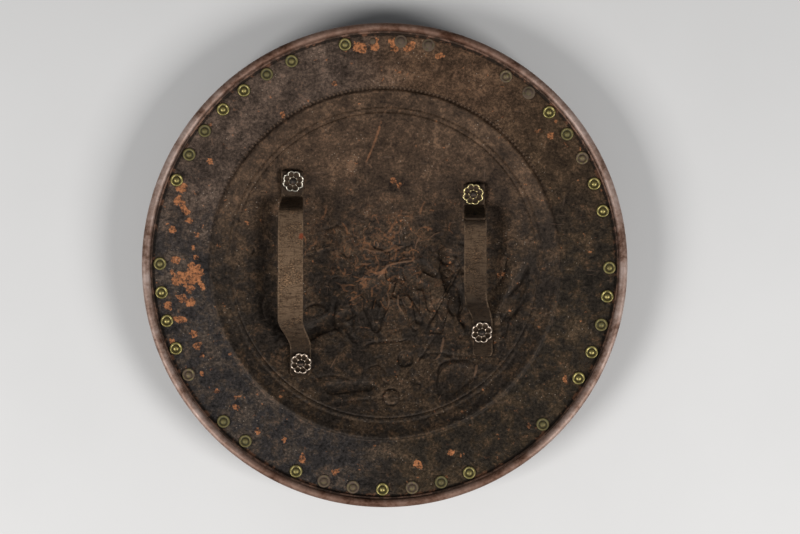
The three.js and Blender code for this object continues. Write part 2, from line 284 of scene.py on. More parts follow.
class Sheet:
    """One material's nodes."""

    def __init__(self, name):
        self.material = bpy.data.materials.new(name)
        self.material.use_nodes = True
        self.tree = self.material.node_tree
        self.tree.nodes.clear()
        self.place = self.add("ShaderNodeTexCoord", {}, {}, "Object")

    def add(self, kind, settings, sockets, output=0):
        """Adds a node: settings first, then sockets by name or number, from wires or plain values."""
        node = self.tree.nodes.new(kind)
        for key, value in settings.items():
            if key == "stops":
                while len(node.color_ramp.elements) < len(value):
                    node.color_ramp.elements.new(1)
                for element, (position, colour) in zip(node.color_ramp.elements, value):
                    element.position, element.color = position, (*colour, 1)
            else:
                setattr(node, key, value)
        for key, value in sockets.items():
            if isinstance(value, Wire):
                self.tree.links.new(value.socket, node.inputs[key])
            else:
                node.inputs[key].default_value = value
        return Wire(self, node.outputs[output]) if node.outputs else None

    def measure(self, name):
        return self.add("ShaderNodeAttribute", {"attribute_name": name}, {}, "Fac")

    def flat_axes(self):
        """X and Y in millimetres."""
        parts = self.add("ShaderNodeSeparateXYZ", {}, {0: self.place}).socket.node
        return [Wire(self, parts.outputs[number]) / MM for number in (0, 1)]

    def stretched(self, scale, turn=0.0):
        """The place, turned about Z and stretched, for patterns that run one way."""
        sockets = {"Vector": self.place, "Rotation": (0, 0, turn), "Scale": scale}
        return self.add("ShaderNodeMapping", {"vector_type": "POINT"}, sockets)

    def elsewhere(self, seed, vector=None):
        """The place, moved far off so that a second pattern doesn't repeat the first."""
        if not seed:
            return vector or self.place
        offset = (1.37 * seed, -0.61 * seed, 0.83 * seed)
        return self.add("ShaderNodeVectorMath", {"operation": "ADD"}, {0: vector or self.place, 1: offset})

    def noise(self, size, detail=4, rough=0.55, seed=0, vector=None):
        """Cloudy noise with blotches of about the given size in millimetres."""
        sockets = {
            "Vector": self.elsewhere(seed, vector),
            "Scale": 1 / (size * MM),
            "Detail": detail,
            "Roughness": rough,
        }
        return self.add("ShaderNodeTexNoise", {"noise_dimensions": "3D"}, sockets)

    def cells(self, size, feature="F1", seed=0, vector=None):
        """Distance to the nearest of scattered points, about this far apart in millimetres."""
        sockets = {"Vector": self.elsewhere(seed, vector), "Scale": 1 / (size * MM)}
        return self.add("ShaderNodeTexVoronoi", {"feature": feature}, sockets)

    def ramp(self, value, *stops):
        """A colour for each value, from (value, colour) stops."""
        return self.add("ShaderNodeValToRGB", {"stops": stops}, {"Fac": value})

    def step(self, value, low, high, to_low=0.0, to_high=1.0):
        """Soft step of a value between two limits."""
        sockets = {0: value, 1: low, 2: high, 3: to_low, 4: to_high}
        return self.add("ShaderNodeMapRange", {"interpolation_type": "SMOOTHSTEP"}, sockets)

    def mix(self, share, first, second, blend="MIX"):
        """Mixes two colours."""
        settings = {"data_type": "RGBA", "blend_type": blend, "clamp_factor": True}
        colours = [c if isinstance(c, Wire) else (*c, 1) for c in (first, second)]
        return self.add("ShaderNodeMix", settings, {0: share, 6: colours[0], 7: colours[1]}, 2)

    def layered(self, colour, *layers):
        """Lays colours over a first one, each as (share, colour)."""
        for share, over in layers:
            colour = self.mix(share, colour, over)
        return colour

    def bump(self, height, depth):
        """Roughens the surface by a height from 0 to 1, this deep in millimetres."""
        return self.add("ShaderNodeBump", {}, {"Height": height, "Distance": depth * MM, "Strength": 1.0})

    def surface(self, colour, roughness, metallic, normal, **plain):
        """Ends the sheet in one surface; plain sockets take a number or colour as it is."""
        sockets = {"Base Color": colour, "Roughness": roughness, "Metallic": metallic, "Normal": normal}
        sockets.update({key.replace("_", " "): value for key, value in plain.items()})
        shader = self.add("ShaderNodeBsdfPrincipled", {}, sockets)
        self.add("ShaderNodeOutputMaterial", {}, {"Surface": shader})
        return self.material


# ---- the embossed scene ---------------------------------------------------------------------------

# Seen from the hollow back, every figure is sunk into the iron. A form is a round-ended hollow from
# one point to another, in millimetres: (start, end, radius there and here, share of the full depth).


def towards(degrees, length):
    angle = math.radians(degrees)
    return np.array((math.cos(angle), math.sin(angle))) * length


def limb(joint, bones, size):
    """A chain of forms from a joint. Each bone is (direction, length, first radius, last radius)."""
    forms = []
    joint = np.array(joint, dtype=float)
    for angle, length, first, last in bones:
        end = joint + towards(angle, length * size)
        forms.append((joint, end, first * size, last * size, 1.0))
        joint = end
    return forms


def soldier(hip, height, torso, legs, arms, facing):
    """Directions in degrees: the torso's lean, then (thigh, shin) and (upper arm, forearm) pairs."""
    forms = limb(hip, ((torso, 0.3, 0.10, 0.12), (torso, 0.07, 0.05, 0.05)), height)
    shoulder, neck = forms[0][1], forms[1][1]
    head = (torso + 6, 0.10, 0.075, 0.085)
    nose = (torso - 40 * facing, 0.06, 0.05, 0.03)
    forms += limb(neck, (head, nose), height)
    forms += limb(hip, ((torso + 180, 0.13, 0.11, 0.13),), height)
    for thigh, shin in legs:
        foot = (shin + 80 * facing, 0.1, 0.035, 0.02)
        forms += limb(hip, ((thigh, 0.24, 0.085, 0.055), (shin, 0.24, 0.060, 0.035), foot), height)
    for upper, fore in arms:
        bones = ((upper, 0.17, 0.065, 0.048), (fore, 0.16, 0.05, 0.032), (fore, 0.04, 0.042, 0.035))
        forms += limb(shoulder, bones, height)
    return forms


def horse(rump, length, back, neck, head, hind, fore):
    body = ((back, 0.4, 0.18, 0.19), (neck, 0.27, 0.15, 0.08), (head, 0.2, 0.075, 0.045))
    forms = limb(rump, body, length)
    chest, poll = forms[0][1], forms[1][1]
    forms += limb(poll, ((neck + 25, 0.07, 0.03, 0.015),), length)
    for joint, legs in ((rump, hind), (chest, fore)):
        for upper, lower in legs:
            hoof = (lower + 15, 0.05, 0.035, 0.045)
            forms += limb(joint, ((upper, 0.27, 0.105, 0.05), (lower, 0.22, 0.05, 0.03), hoof), length)
    return forms


def disc(x, y, radius, share=1.0):
    return [(np.array((x, y)), np.array((x, y)), radius, radius, share)]


# Each figure covers those before it.
FIGURES = (
    limb((-62, -146), ((4, 44, 8, 6),), 1),
    soldier((150, -44), 84, 66, ((-112, -94),), ((20, 78),), -1),
    soldier((-84, -76), 92, 24, ((196, 158),), ((-30, -62),), 1),
    disc(86, -142, 25, 0.7),
    disc(24, -112, 9),
    disc(7.5, -157, 10, -0.6),
    horse((-14, -26), 98, 14, 46, -38, ((-105, -70), (-60, -110)), ((-62, -84), (-20, -80))),
    soldier((12, 0), 78, 82, ((-70, -110),), ((200, 160),), 1),
    soldier((84, -34), 104, 102, ((-68, -76), (-128, -98)), ((-6, 62),), -1),
)
RELIEF_EDGE = 168.0
STRAP_SEAT = (12, 28)


def through(*stations):
    """A smooth curve through (x, y) stations, as closely spaced points."""
    stations = np.array(stations, dtype=float)
    first, last = 2 * stations[:1] - stations[1:2], 2 * stations[-1:] - stations[-2:-1]
    padded = np.concatenate((first, stations, last))
    curve = []
    for before, start, end, after in zip(padded, padded[1:], padded[2:], padded[3:]):
        share = np.linspace(0, 1, 2 + int(np.linalg.norm(end - start)))[:, None]
        pull = 2 * start + share * (end - before)
        pull = pull + share**2 * (2 * before - 5 * start + 4 * end - after)
        curve.append((pull + share**3 * (3 * start - before - 3 * end + after)) / 2)
    return np.concatenate(curve)


def ring(x, y, radius):
    return through(*(np.array((x, y)) + towards(degrees, radius) for degrees in range(0, 361, 45)))


# Lines chased with a punch: (curve, half width, depth); a negative depth stands proud.
CHASED = (
    (through((66, -77), (52, -97), (38, -118)), 1.4, 1.0),
    (through((-58, -41), (-62, -65), (-51, -82)), 2.6, 1.8),  # a head in profile
    (through((-44, -38), (-37, -56), (-39, -77)), 2.4, 1.6),
    (through((62, -144), (65, -120), (78, -114), (92, -113), (107, -116)), 1.5, 1.8),  # arch
    (through((109, -117), (105, -135), (97, -145)), 1.5, -1.4),
    (through((37, -116), (46, -107), (64, -105), (100, -109), (121, -99)), 1.4, 1.1),
    (ring(7.5, -157, 9.6), 1.2, 1.5),  # ball
    (ring(24, -112, 8), 1.2, 1.0),
    (ring(37, -71, 6), 1.2, 1.0),
    (ring(-111, -112, 18), 1.6, 1.0),
    (through((-30, -103), (-17, -93), (8, -91), (34, -89)), 1.5, 1.3),  # ground
    (through((-25, -125), (-9, -119), (-1, -125), (6, -134)), 1.3, 1.0),
    (through((-70, -165), (-21, -160), (0, -159)), 1.2, 1.0),
    (through((31, -164), (50, -169), (66, -164), (88, -149), (112, -128)), 1.5, 1.5),  # hull
    (through((36, -152), (56, -155), (74, -151)), 1.1, 0.8),
    (through((110, -128), (123, -134), (136, -131), (148, -119)), 1.3, 1.1),
    (through((70, -85), (66, -105), (60, -113)), 1.3, -1.2),
    (through((88, -27), (91, -46), (88, -64), (101, -75)), 2.0, 1.9),  # shin and foot
    (through((79, -34), (75, -48), (84, -66)), 1.5, 1.3),
    (through((142, -41), (160, -22), (172, 3)), 2.2, 1.8),  # plumes
    (through((150, -62), (163, -46), (174, -22)), 1.8, 1.5),
    (through((127, -74), (137, -70), (145, -58)), 1.5, 1.2),
    (through((130, -30), (141, -12), (146, 14)), 1.5, 1.2),
    (through((-8, -14), (3, 0), (16, 4), (33, 6)), 1.6, -1.4),  # the horse's back
    (through((-26, 21), (-8, 17), (9, 20)), 1.3, -1.0),
    (through((2, -29), (5, -42), (1, -55)), 1.2, -1.0),
    (through((16, -33), (16, -46), (23, -58)), 1.2, -1.0),
    (through((27, -33), (36, -47), (44, -60)), 1.2, 1.0),
    (through((60, 14), (70, 3), (82, 5), (86, 16)), 1.6, 1.2),  # the lancer's helmet
    (through((68, -8), (75, -4), (82, -9), (75, -14), (68, -8)), 1.2, 1.1),
    (through((-96, -52), (-82, -46), (-70, -52), (-66, -64)), 1.7, 1.3),  # the fallen soldier's arm
    (through((-132, -92), (-120, -84), (-104, -88)), 1.5, 1.1),
    (through((-140, -70), (-146, -50), (-140, -30)), 1.5, 1.0),
    (through((-88, -140), (-70, -132), (-48, -134), (-34, -142)), 1.4, 1.0),
    (through((96, 10), (73, -32), (51, -73)), 1.9, 2.6),  # the lance
)
TOOL_MARKS = 260
SCUFFS = 170


def random_marks(seed, number, place, lengths, half_widths, depths):
    """Short curved marks, each starting where place(draw) says."""
    draw = np.random.default_rng(seed)
    marks = []
    for _ in range(number):
        start = place(draw)
        heading, bend = draw.uniform(0, 360), draw.uniform(-70, 70)
        length, half_width, depth = (draw.uniform(*limits) for limits in (lengths, half_widths, depths))
        middle = start + towards(heading, length / 2)
        end = middle + towards(heading + bend, length / 2)
        marks.append((through(start, middle, end), half_width, depth))
    return marks


def among_figures(draw):
    """Anywhere on the embossed part of the field, which stops short of the upper edge."""
    while True:
        start = towards(draw.uniform(0, 360), 172 * math.sqrt(draw.uniform(0, 1)))
        if start[1] < 62 - 0.2 * abs(start[0]):
            return start


def round_middle(draw):
    return np.array((-2, 4)) + draw.normal(0, 1, 2) * (34, 30)


def chase(points, curve, half_width, depth):
    """A punched line's depth at (x, y) points, tapering towards its ends."""
    low, high = curve.min(0) - 3 * half_width, curve.max(0) + 3 * half_width
    near = np.flatnonzero(((points > low) & (points < high)).all(axis=1))
    away = np.linalg.norm(points[near, None] - curve[None], axis=2)
    at = away.argmin(axis=1) / (len(curve) - 1)
    reach = away.min(axis=1) / half_width
    taper = np.sqrt(np.clip(np.minimum(at, 1 - at) * 5, 0.15, 1))
    result = np.zeros(len(points))
    result[near] = depth * taper * np.exp(-(reach**2))
    return result


def figure_at(points, forms, depth):
    """How deep one figure is sunk at (x, y) points, and the distance to its outline, inside negative."""
    total = np.zeros(len(points))
    away = np.full(len(points), 1e3)
    for start, end, first, last, share in forms:
        bone = end - start
        along = np.clip((points - start) @ bone / (bone @ bone or 1), 0, 1)
        radius = first + (last - first) * along
        distance = np.linalg.norm(points - start - along[:, None] * bone, axis=1)
        bold = share * np.minimum(depth, 0.5 + 0.32 * radius)
        total += np.sign(share) * (bold * np.sqrt(np.clip(1 - (distance / radius) ** 2, 0, 1))) ** 4
        away = np.minimum(away, distance - radius)
    return np.sign(total) * np.abs(total) ** 0.25, away


def embossing(points, depth):
    """At (x, y) points: how far the scene is sunk, the fine chasing, the creases and the ridges."""
    sunk = np.zeros(len(points))
    crease = np.zeros(len(points))
    for forms in FIGURES:
        swell, away = figure_at(points, forms, depth)
        inside = away < 0
        sunk = np.where(inside, swell + 0.25 * sunk, sunk)
        crease = np.where(inside, 0.25 * crease, crease)
        crease = np.maximum(crease, np.exp(-((away / 1.3) ** 2)))
    lines = [chase(points, *line) for line in CHASED]
    marks = random_marks(11, TOOL_MARKS, among_figures, (7, 24), (0.8, 1.4), (-0.9, 1.1))
    chased = sum(lines) + sum(chase(points, *mark) for mark in marks)
    crease = np.maximum(0.75 * crease, np.clip(chased / 1.4, 0, 1))
    crease = np.maximum(crease, np.clip(lines[-1] / 1.5, 0, 1))
    ridge = np.clip(-chased / 0.8, 0, 1)
    flat = 1 - smooth(np.linalg.norm(points, axis=1), RELIEF_EDGE, FIELD_RADIUS)
    for strap in STRAPS.values():
        for end in (strap.upper, strap.lower):
            flat = flat * smooth(np.linalg.norm(points - np.array(end), axis=1), *STRAP_SEAT)
    return sunk * flat, chased * flat, crease * flat, ridge * flat


# Patches of orange rust where the patina has gone: x, y and radius in millimetres.
RUST_PATCHES = (
    (-222, -9, 9), (-229, -18, 8), (-244, -18, 7), (-230, -30, 7), (-238, -40, 7), (-229, -46, 6),
    (-254, -50, 5), (-246, 4, 5), (-215, -27, 4), (-222, 8, 4), (-240, -66, 6), (-223, -83, 6),
    (-219, -96, 5), (-214, -108, 4), (-249, -92, 4), (-243, 74, 8), (-240, 88, 7), (-236, 62, 5),
    (-230, 50, 4), (-222, 34, 4), (-249, 40, 5), (-214, 44, 3), (-196, 22, 3), (-226, 20, 3),
    (-176, -168, 6), (-150, -196, 5), (-206, 122, 4), (-214, -130, 4), (-196, -150, 4),
    (-30, 256, 8), (-12, 259, 7), (10, 259, 7), (30, 257, 6), (-46, 255, 5), (66, 246, 5),
    (-96, -228, 5), (-58, -244, 5), (40, -236, 5), (78, -222, 4), (-118, -208, 4), (168, -190, 4),
    (212, -136, 3), (196, 152, 4), (10, 101, 5), (17, 95, 4), (-120, 176, 4), (-60, 214, 4),
)


def rust_cover(points):
    """How well inside a patch of rust each (x, y) point lies, from 0 to 1."""
    cover = np.zeros(len(points))
    for x, y, radius in RUST_PATCHES:
        away = np.linalg.norm(points - np.array((x, y)), axis=1)
        cover = np.maximum(cover, np.clip(1 - away / (1.6 * radius), 0, 1))
    return cover


# ---- the forged plate -----------------------------------------------------------------------------


def plate_profile():
    """(radius, height) from the middle of the back, over the rim, to the middle of the front."""
    back = [(radius, float(dome_height(radius))) for radius in np.linspace(0, FIELD_RADIUS, 106)]
    # The moulding: a shallow groove at the field's edge, a second one, the ridge and the border.
    back += [(181.2, EDGE_HEIGHT - 0.5), (182.6, EDGE_HEIGHT + 0.7), (184.5, EDGE_HEIGHT + 1.7)]
    back += [(186.3, EDGE_HEIGHT + 1.6), (187.4, EDGE_HEIGHT + 1.4), (188.8, EDGE_HEIGHT + 2.5)]
    back += [(192, EDGE_HEIGHT + 3.9), (196, EDGE_HEIGHT + 5.3), (199, EDGE_HEIGHT + 6.9)]
    back += [(202, EDGE_HEIGHT + 8.9), (203.8, EDGE_HEIGHT + 9.65), (205, EDGE_HEIGHT + 9.8)]
    back += [(206.2, EDGE_HEIGHT + 9.3), (207.3, EDGE_HEIGHT + 8.0), (208.3, EDGE_HEIGHT + 7.25)]
    back += [(209.5, EDGE_HEIGHT + 7.3), (211, EDGE_HEIGHT + 7.55)]
    back += [(radius, border_height(radius)) for radius in range(215, 272, 4)]
    back += [(272.2, BORDER_HEIGHT - 0.2), (BORDER_RADIUS - 0.3, BORDER_HEIGHT + 0.3)]
    lip = [(BORDER_RADIUS, BORDER_HEIGHT + 2.2), (273.6, BORDER_HEIGHT + 2.9)]
    lip += [(274.4, BORDER_HEIGHT + 3.2), (275.4, BORDER_HEIGHT + 3.1), (276, BORDER_HEIGHT + 2.9)]
    centre = (RIM_RADIUS - ROLL_RADIUS, BORDER_HEIGHT - SHEET + ROLL_RADIUS)
    bead = []
    for degrees in range(155, -91, -15):
        angle = math.radians(degrees)
        spoke = ROLL_RADIUS - 0.12
        bead.append((centre[0] + spoke * math.cos(angle), centre[1] + spoke * math.sin(angle)))
    front = [(BORDER_RADIUS, BORDER_HEIGHT - SHEET)]
    front += [
        (radius, EDGE_HEIGHT + rise - SHEET)
        for radius, rise in ((262, 13.1), (250, 11.8), (236, 10.2), (222, 8.7), (209.5, 7.3), (206.5, 8.7))
    ]
    front += [
        (radius, EDGE_HEIGHT + rise - SHEET)
        for radius, rise in ((204.5, 9.6), (201, 8.2), (196, 5.3), (188, 2.6), (180, 0))
    ]
    front += [(r, max(0.0, float(dome_height(r)) - SHEET)) for r in np.linspace(175, 0, 34)]
    return back + lip + bead + front


def forge_plate(settings):
    profile = [(radius * MM, height * MM) for radius, height in plate_profile()]
    plate = spun("forged_plate", profile, 480, 12)
    points = coordinates(plate)
    flat = points[:, :2]
    radius = np.linalg.norm(flat, axis=1)
    middle = dome_height(radius) - SHEET / 2
    on_field = radius < FIELD_RADIUS + 0.01
    on_back = on_field & (points[:, 2] > middle)
    depth, chased, crease, ridge = embossing(flat, settings.relief / MM)
    uneven = wander(points, 42, 0) * 0.35 + wander(points, 15, 7) * 0.16 + wander(points, 6, 8) * 0.08
    uneven = uneven * (1 - smooth(radius, 258, 266)) + 0.12 * wander(points, 9, 3) * (radius > 270)
    points[:, 2] -= np.where(on_field, depth + chased * on_back, 0)
    points[:, 2] += uneven
    points[:, 2] = np.where(on_field & ~on_back, np.maximum(points[:, 2], 0), points[:, 2])
    points[:, 2] = np.where((radius < ROUNDEL_RADIUS) & ~on_back, 0, points[:, 2])
    set_coordinates(plate, points)
    set_measure(plate, "radius", radius)
    set_measure(plate, "hollow", np.where(on_back, depth / (settings.relief / MM), 0))
    set_measure(plate, "crease", np.where(on_back, crease, 0))
    set_measure(plate, "ridge", np.where(on_back, ridge, 0))
    set_measure(plate, "rust", rust_cover(flat))
    scuffs = random_marks(23, SCUFFS, round_middle, (5, 22), (0.5, 1.3), (0.5, 1.4))
    scuffs.append((through((-4, 171), (-12, 147), (-23, 121)), 1.0, 2.0))
    scuffed = sum(chase(flat, *mark) for mark in scuffs)
    set_measure(plate, "scuff", np.where(on_back, np.clip(scuffed, 0, 1.3), 0))
    shade(plate)
    return plate


# ---- turned fittings ------------------------------------------------------------------------------


def set_on(piece, x, y, slope, height, turn=0.0):
    """Sets a fitting modelled about its own axis on the plate, leaning with the plate's slope."""
    outward = math.atan2(y, x)
    lean = Vector((-slope * math.cos(outward), -slope * math.sin(outward), 1)).normalized()
    rotation = Vector((0, 0, 1)).rotation_difference(lean).to_matrix().to_4x4()
    piece.matrix_world = (
        Matrix.Translation(Vector((x, y, height)) * MM) @ rotation @ Matrix.Rotation(turn, 4, "Z")
    )
    place_in_mesh(piece)


def turned(name, profile, steps):
    """A turned fitting from (radius, height) points in millimetres, from one end to the other."""
    return spun(name, [(radius * MM, height * MM) for radius, height in profile], steps)


RIM_RIVET_FRONT = ((2.0, -2.1), (5.4, -2.1), (5.5, -2.5), (4.6, -3.9), (2.8, -4.9), (0, -5.3))
WASHER = (
    ((0, 3.1), (1.2, 3.0), (2.3, 2.6), (3.1, 1.9), (3.4, 1.3), (3.6, 0.95), (4.4, 0.9), (5.0, 1.15))
    + ((5.6, 1.9), (6.3, 2.1), (7.0, 1.8), (7.6, 1.0), (7.75, 0.5), (7.6, 0.3), (2.0, 0.3))
)
BARE_HEAD = ((0, 2.2), (1.4, 2.0), (2.7, 1.5), (3.6, 0.8), (3.9, 0.3), (2.0, 0.3))
IRON_HEAD = ((0, 3.1), (2.0, 2.9), (3.9, 2.2), (5.0, 1.2), (5.3, 0.7), (7.0, 0.75), (7.6, 0.3), (2.0, 0.3))

BARE_STATIONS = (12,)
IRON_STATIONS = (6, 10, 11)


def rivet_stations():
    """The station number, x and y of every rim rivet that is still in place."""
    for node in sorted(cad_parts):
        if node.startswith("rim_rivet_"):
            middle = middle_of(node)
            outward = math.atan2(middle.y, middle.x)
            yield int(node[-2:]), RIVET_CIRCLE * math.cos(outward), RIVET_CIRCLE * math.sin(outward)


BRIGHT_STATIONS = (1, 2, 5, 26, 27, 44, 45, 47)
RUSTY_STATIONS = (3, 7, 10, 28, 34, 35, 37)


def rim_rivets(settings):
    patterns = {
        "washer": turned("washer_pattern", WASHER + RIM_RIVET_FRONT, 32),
        "bare": turned("bare_pattern", BARE_HEAD + RIM_RIVET_FRONT, 20),
        "iron": turned("iron_pattern", IRON_HEAD + RIM_RIVET_FRONT, 28),
    }
    height = border_height(RIVET_CIRCLE)
    pieces = {}
    for station, x, y in rivet_stations():
        kind = "bare" if station in BARE_STATIONS else "iron" if station in IRON_STATIONS else "washer"
        piece = copy_of(patterns[kind], f"washer_{station:02d}")
        local = coordinates(piece)
        from_axis = np.linalg.norm(local[:, :2], axis=1)
        recess = np.exp(-(((from_axis - 4.2) / 0.9) ** 2)) + smooth(from_axis, 7.1, 7.7)
        set_measure(piece, "recess", recess)
        tarnish = 0.15 if station in BRIGHT_STATIONS else 0.55 + 0.3 * math.sin(station * 1.7)
        set_measure(piece, "tarnish", np.full(len(local), 1.0 if kind != "washer" else tarnish))
        rusty = kind != "washer" or station in RUSTY_STATIONS
        set_measure(piece, "rusty", np.full(len(local), 1.0 if rusty else 0.0))
        set_on(piece, x, y, BORDER_SLOPE, height, station * 2.4)
        shade(piece)
        pieces[station] = piece
    for pattern in patterns.values():
        bpy.data.objects.remove(pattern)
    return pieces


# ---- rosettes -------------------------------------------------------------------------------------

PETALS = 8
PETAL_CENTRE = 8.0
PETAL_RADIUS = 5.0
ROSETTE_RADIUS = PETAL_CENTRE + PETAL_RADIUS


def rosette(name):
    """A flower washer: a turned blank whose skin is then raised into cupped petals."""
    ends = [(ROSETTE_RADIUS, 1.0), (ROSETTE_RADIUS, 0.3), (ROSETTE_RADIUS - 0.4, 0.0)]
    ends += [(7.0, 0.0), (2.0, 0.0)]
    top = [(2.0, 1.0)] + [(float(radius), 1.5) for radius in np.linspace(2.8, ROSETTE_RADIUS - 0.4, 24)]
    piece = turned(name, top + ends + [(2.0, 1.0)], 128)
    points = coordinates(piece)
    radius = np.linalg.norm(points[:, :2], axis=1)
    turn = np.arctan2(points[:, 1], points[:, 0])
    petal = (turn + math.pi / PETALS) % (TAU / PETALS) - math.pi / PETALS
    reach = PETAL_CENTRE * np.cos(petal) + np.sqrt(PETAL_RADIUS**2 - (PETAL_CENTRE * np.sin(petal)) ** 2)
    share = radius / ROSETTE_RADIUS
    outward = radius * (1 + (reach / ROSETTE_RADIUS - 1) * smooth(share, 0.3, 0.95))
    off_axis = outward * np.sin(petal)
    from_centre = np.hypot(outward * np.cos(petal) - PETAL_CENTRE, off_axis) / PETAL_RADIUS
    rim = np.exp(-(((from_centre - 0.80) / 0.20) ** 2)) * smooth(outward, 3.8, 5.4)
    cup = np.clip(1 - (from_centre / 0.72) ** 2, 0, 1)
    lift = 0.9 + 1.5 * rim + 0.6 * smooth(outward, 6, 11)
    lift = np.where(outward < 4.2, 1.0, lift)
    on_top = points[:, 2] > 0.9
    points[:, 0] = outward * np.cos(turn)
    points[:, 1] = outward * np.sin(turn)
    points[:, 2] = np.where(on_top & (radius > 2.5), lift, points[:, 2])
    points[:, 2] = np.where(on_top & (share > 0.985), 1.5, points[:, 2])
    set_coordinates(piece, points)
    set_measure(piece, "edge", rim * on_top)
    set_measure(piece, "cup", cup * on_top)
    return piece


STRAP_HEAD = ((0, 2.4), (1.2, 2.3), (2.5, 1.9), (3.4, 1.1), (3.9, 0.4), (4.0, 0.0), (2.0, 0.0))


def strap_fittings(strap, end, layers):
    """The rosette and the rivet at one end of a strap."""
    x, y = getattr(strap, end)
    radius = math.hypot(x, y)
    slope = radius / math.sqrt(DOME_RADIUS**2 - radius**2)
    top = STRAP_LIFT + layers * LEATHER + 0.3
    flower = rosette(f"rosette_{strap.name}_{end}")
    head = top + 1.0 + 0.3
    front = [(2.0, -2.1 - head), (6.4, -2.1 - head), (6.5, -2.5 - head), (5.2, -3.9 - head)]
    front += [(3.0, -4.8 - head), (0, -5.1 - head)]
    rivet = turned(f"strap_rivet_{strap.name}_{end}", STRAP_HEAD + tuple(front), 24)
    for piece, height in ((flower, top), (rivet, head)):
        lean = Vector((-slope * x / radius, -slope * y / radius, 1)).normalized() * height
        base = float(dome_height(radius))
        set_on(piece, x + lean.x, y + lean.y, slope, base + lean.z, 0.3)
        shade(piece)
    return flower, rivet


# ---- straps ---------------------------------------------------------------------------------------


class Strap:
    """One leather strap, from its upper rivet to its lower one, in millimetres."""

    def __init__(self, name, upper, lower, widths, crown, feet, runs, fold, tail, bend):
        self.name, self.upper, self.lower, self.widths = name, upper, lower, widths
        self.crown, self.feet, self.runs = crown, feet, runs
        self.fold, self.tail, self.bend = fold, tail, bend

    def raised(self, y):
        start, end = self.upper[1] - self.feet[0], self.lower[1] + self.feet[1]
        return (1 - smooth(y, start - self.runs[0], start)) * smooth(y, end, end + self.runs[1])

    def middle(self, y):
        """The underside's middle line."""
        x = self.lower[0] + (self.upper[0] - self.lower[0]) * smooth(y, self.bend - BEND_RUN, self.bend)
        rest = dome_height(np.hypot(x, y)) + STRAP_LIFT
        return np.stack((x, y, rest + (self.crown - rest) * self.raised(y)), axis=1)

    def width(self, y):
        upper, middle, lower = self.widths
        start = self.upper[1] - self.feet[0]
        wide = upper + (middle - upper) * (1 - smooth(y, start - self.runs[0], start))
        return lower + (wide - lower) * smooth(y, self.bend - BEND_RUN, self.bend)


STRAPS = {
    "arm": Strap(
        "arm", (-110.3, 99.9), (-99.7, -118.6), (26, 29.5, 24.7), 50.5, (18, 13), (24, 34), 18, 13, -66
    ),
    "hand": Strap(
        "hand", (106.5, 84.6), (115.9, -81.5), (25, 26, 23.5), 46.5, (13, 12), (26, 30), 36, 27, -38
    ),
}


def strap_path(strap):
    """Dense stations along the leather's middle layer: point, across, up, width; folded at the top."""
    thickness = LEATHER - 0.25
    y = np.linspace(strap.lower[1] - strap.tail, strap.upper[1] + FOLD_TIP - LEATHER, 900)
    base = strap.middle(y)
    heading = np.gradient(base, axis=0)
    heading /= np.linalg.norm(heading, axis=1, keepdims=True)
    tilt = base[:, 0] / DOME_RADIUS * (1 - strap.raised(y))
    across = np.stack((np.ones_like(y), np.zeros_like(y), tilt), axis=1)
    across /= np.linalg.norm(across, axis=1, keepdims=True)
    up = np.cross(across, heading)
    up /= np.linalg.norm(up, axis=1, keepdims=True)
    lower_layer = base + up * thickness / 2
    upper_layer = base + up * (LEATHER + thickness / 2)
    fold = slice(np.searchsorted(y, strap.upper[1] - strap.fold), len(y))
    pivot = (lower_layer[-1] + upper_layer[-1]) / 2
    swing = np.linspace(0, math.pi, 24)[1:-1, None]
    spoke = LEATHER / 2
    turn_points = pivot - up[-1] * spoke * np.cos(swing) + heading[-1] * spoke * np.sin(swing)
    turn_ups = up[-1] * np.cos(swing) - heading[-1] * np.sin(swing)
    points = np.concatenate((lower_layer, turn_points, upper_layer[fold][::-1]))
    ups = np.concatenate((up, turn_ups, -up[fold][::-1]))
    sides = np.concatenate((across, np.repeat(across[-1:], len(turn_points), 0), across[fold][::-1]))
    places = np.concatenate((y, np.full(len(turn_points), y[-1]), y[fold][::-1]))
    along = np.concatenate(((0,), np.cumsum(np.linalg.norm(np.diff(points, axis=0), axis=1))))
    return along, points, ups, sides, strap.width(places)


def leather_strap(strap):
    along, points, ups, sides, widths = strap_path(strap)
    pick_nothing()
    bpy.ops.mesh.primitive_grid_add(x_subdivisions=16, y_subdivisions=int(along[-1] / 0.9), size=1)
    piece = named(f"{strap.name}_strap_leather")
    with Editing(piece):
        bpy.ops.mesh.extrude_region_move(TRANSFORM_OT_translate={"value": (0, 0, 1)})
        bpy.ops.mesh.select_all(action="SELECT")
        bpy.ops.mesh.normals_make_consistent(inside=False)
    flat = coordinates(piece) * MM
    share = np.sin(math.pi * flat[:, 0])  # -1 to 1 across, closer together towards the edges
    place = (flat[:, 1] + 0.5) * along[-1]
    side = np.where(flat[:, 2] > 0.5, 1.0, -1.0)
    to_end = np.minimum(place, along[-1] - place)

    def at(values):
        if values.ndim == 1:
            return np.interp(place, along, values)
        return np.stack([np.interp(place, along, column) for column in values.T], axis=1)

    rounding = 0.3 + 0.7 * np.sqrt(np.clip(1 - share**6, 0, 1))
    rounding *= 0.4 + 0.6 * np.sqrt(np.clip(to_end / 1.2, 0, 1) * (2 - np.clip(to_end / 1.2, 0, 1)))
    half_width = at(widths) / 2 * (1 - 0.2 * (1 - np.clip(to_end / 5, 0, 1)) ** 2)
    middle, up, across = at(points), at(ups), at(sides)
    half_width += 0.35 * wander(middle + across * share[:, None] * 12, 17, 5)
    result = middle + across * (share * half_width)[:, None]
    thick = (LEATHER - 0.25) / 2 * rounding + 0.1 * wander(result, 5, 11)
    result += up * (side * thick)[:, None]
    result += up * (0.35 * wander(middle, 30, 2) * smooth(to_end, 5, 30))[:, None]
    set_coordinates(piece, result)
    set_measure(piece, "across", share)
    return piece


